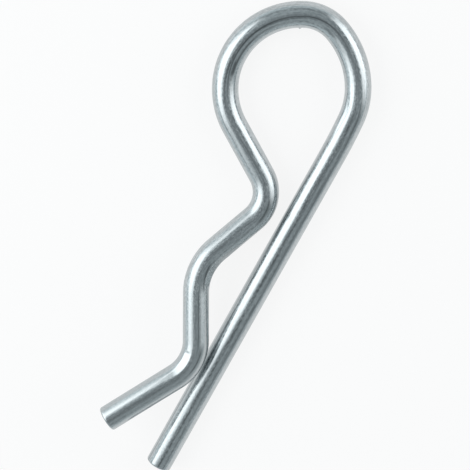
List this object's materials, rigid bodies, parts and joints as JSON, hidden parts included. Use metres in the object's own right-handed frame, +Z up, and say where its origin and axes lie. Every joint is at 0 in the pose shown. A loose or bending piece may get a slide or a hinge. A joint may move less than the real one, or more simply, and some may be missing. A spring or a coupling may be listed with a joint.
{
  "type": "hitch r clip pin",
  "caption": "Bent round-wire R clip: a straight leg for a shaft's cross hole, a waved spring leg that snaps over the shaft, a flared tail and a round bow to pull it by.",
  "frame": {"origin": "the point of the straight leg's axis where the axis of the clipped shaft crosses it", "axes": "+X along the straight leg, from its free tip towards the bow; +Y from the straight leg towards the spring leg; +Z up from the surface that the flat bow lies on, and along the clipped shaft's axis"},
  "size_m": [0.0764, 0.0243, 0.0089],
  "materials": {
    "clip": "bright zinc plating over drawn spring-steel wire, glossy, with faint lengthwise drawing marks"
  },
  "bodies": {
    "root": {"clip": "clip"}
  },
  "joints": []
}
